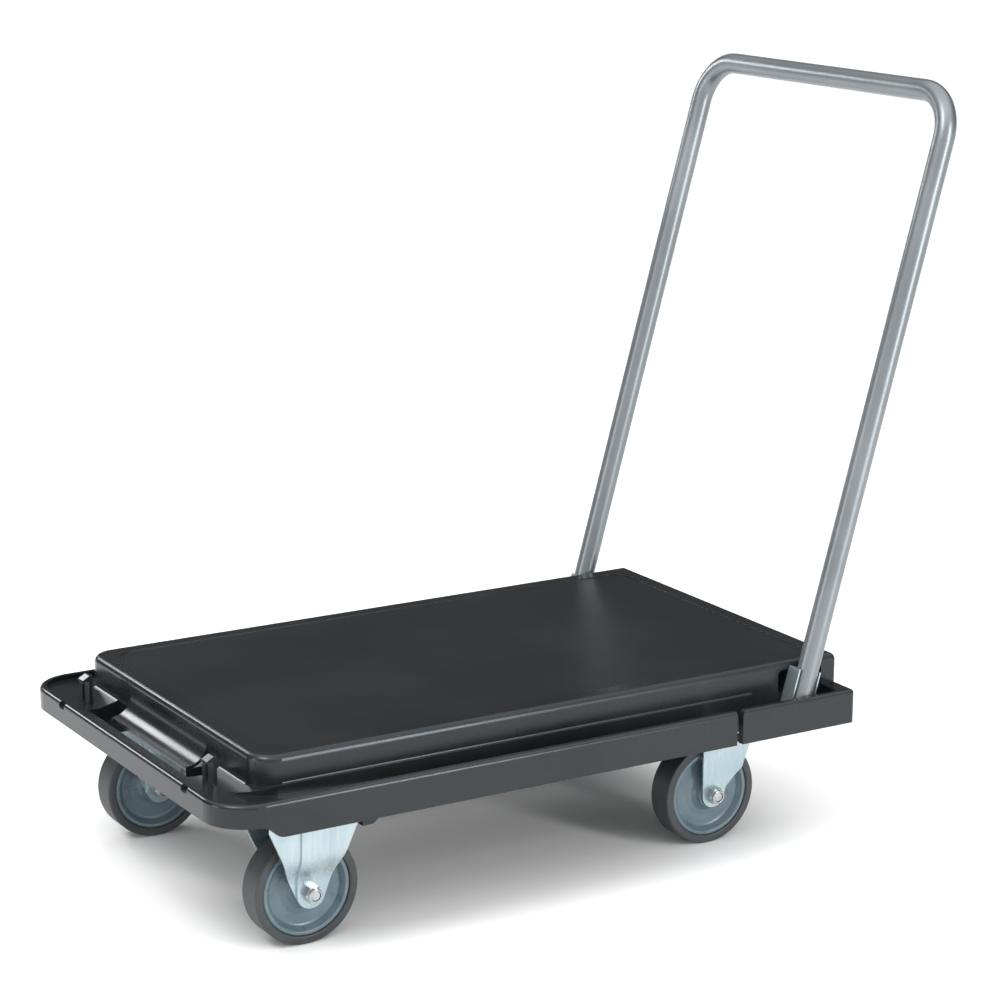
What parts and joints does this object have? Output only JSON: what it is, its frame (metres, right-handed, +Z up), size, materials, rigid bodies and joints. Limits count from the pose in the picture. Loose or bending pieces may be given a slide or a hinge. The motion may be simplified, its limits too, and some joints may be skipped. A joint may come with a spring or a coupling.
{
  "type": "folding-handle platform truck",
  "caption": "Flat-topped moulded platform truck on rigid and swivel casters, with a tubular push handle that folds flat into a channel round the deck.",
  "frame": {"origin": "on the floor, under the middle of the box round the whole truck at rest, with its handle raised", "axes": "+X towards the handle end where the user stands, -X towards the nose, +Y towards the truck's right, +Z up"},
  "size_m": [0.9716, 0.533, 0.895],
  "materials": {
    "black_plastic": "semi-gloss moulded polypropylene, fine grain",
    "handle_paint": "silver-grey powder coat, satin",
    "zinc_sheet": "bright zinc plate, slightly blue",
    "bolt_steel": "zinc-plated fastener",
    "ball_steel": "polished, greased",
    "nylon": "natural nylon",
    "hub_plastic": "blue-grey moulded plastic, satin",
    "tyre_rubber": "dull dark-grey rubber"
  },
  "bodies": {
    "truck": {"platform": "black_plastic", "handle_clip_left": "black_plastic", "handle_clip_right": "black_plastic", "pivot_plate_left": "zinc_sheet", "pivot_plate_right": "zinc_sheet", "pivot_bolt_left": "bolt_steel", "pivot_bolt_right": "bolt_steel", "pivot_nut_left": "bolt_steel", "pivot_nut_right": "bolt_steel", "front_left_fork": "zinc_sheet", "front_left_axle_bolt": "bolt_steel", "front_left_axle_nut": "bolt_steel", "front_left_axle_sleeve": "bolt_steel", "front_left_plate_screws": "bolt_steel", "front_right_fork": "zinc_sheet", "front_right_axle_bolt": "bolt_steel", "front_right_axle_nut": "bolt_steel", "front_right_axle_sleeve": "bolt_steel", "front_right_plate_screws": "bolt_steel", "rear_left_plate_screws": "bolt_steel", "rear_right_plate_screws": "bolt_steel", "rear_left_top_plate": "zinc_sheet", "rear_left_dust_ring": "zinc_sheet", "rear_left_kingpin": "bolt_steel", "rear_left_kingpin_nut": "bolt_steel", "rear_left_balls": "ball_steel", "rear_right_top_plate": "zinc_sheet", "rear_right_dust_ring": "zinc_sheet", "rear_right_kingpin": "bolt_steel", "rear_right_kingpin_nut": "bolt_steel", "rear_right_balls": "ball_steel"},
    "handle": {"handle_tube": "handle_paint", "shoe_rivets": "bolt_steel", "handle_shoe_left": "zinc_sheet", "handle_shoe_right": "zinc_sheet", "pivot_bush_left": "nylon", "pivot_bush_right": "nylon"},
    "rear_left_swivel": {"rear_left_fork": "zinc_sheet", "rear_left_axle_bolt": "bolt_steel", "rear_left_axle_nut": "bolt_steel", "rear_left_axle_sleeve": "bolt_steel"},
    "rear_right_swivel": {"rear_right_fork": "zinc_sheet", "rear_right_axle_bolt": "bolt_steel", "rear_right_axle_nut": "bolt_steel", "rear_right_axle_sleeve": "bolt_steel"},
    "front_left_wheel": {"front_left_hub": "hub_plastic", "front_left_bush": "nylon", "front_left_tyre": "tyre_rubber"},
    "front_right_wheel": {"front_right_hub": "hub_plastic", "front_right_bush": "nylon", "front_right_tyre": "tyre_rubber"},
    "rear_left_wheel": {"rear_left_hub": "hub_plastic", "rear_left_bush": "nylon", "rear_left_tyre": "tyre_rubber"},
    "rear_right_wheel": {"rear_right_hub": "hub_plastic", "rear_right_bush": "nylon", "rear_right_tyre": "tyre_rubber"}
  },
  "joints": [
    {"name": "handle_fold", "type": "hinge", "parent": "truck", "child": "handle", "pos_m": [0.27283, 0, 0.1699], "axis": [0, -1, 0], "range_deg": [0, 103.3]},
    {"name": "rear_left_swivel_turn", "type": "hinge", "parent": "truck", "child": "rear_left_swivel", "pos_m": [0.23023, -0.162, 0.14], "axis": [0, 0, 1], "continuous": true},
    {"name": "rear_right_swivel_turn", "type": "hinge", "parent": "truck", "child": "rear_right_swivel", "pos_m": [0.23023, 0.162, 0.14], "axis": [0, 0, 1], "continuous": true},
    {"name": "front_left_wheel_spin", "type": "hinge", "parent": "truck", "child": "front_left_wheel", "pos_m": [-0.36077, -0.194, 0.0625], "axis": [0, 1, 0], "continuous": true},
    {"name": "rear_left_wheel_spin", "type": "hinge", "parent": "rear_left_swivel", "child": "rear_left_wheel", "pos_m": [0.19523, -0.162, 0.0625], "axis": [0, 1, 0], "continuous": true},
    {"name": "front_right_wheel_spin", "type": "hinge", "parent": "truck", "child": "front_right_wheel", "pos_m": [-0.36077, 0.194, 0.0625], "axis": [0, 1, 0], "continuous": true},
    {"name": "rear_right_wheel_spin", "type": "hinge", "parent": "rear_right_swivel", "child": "rear_right_wheel", "pos_m": [0.19523, 0.162, 0.0625], "axis": [0, 1, 0], "continuous": true}
  ]
}
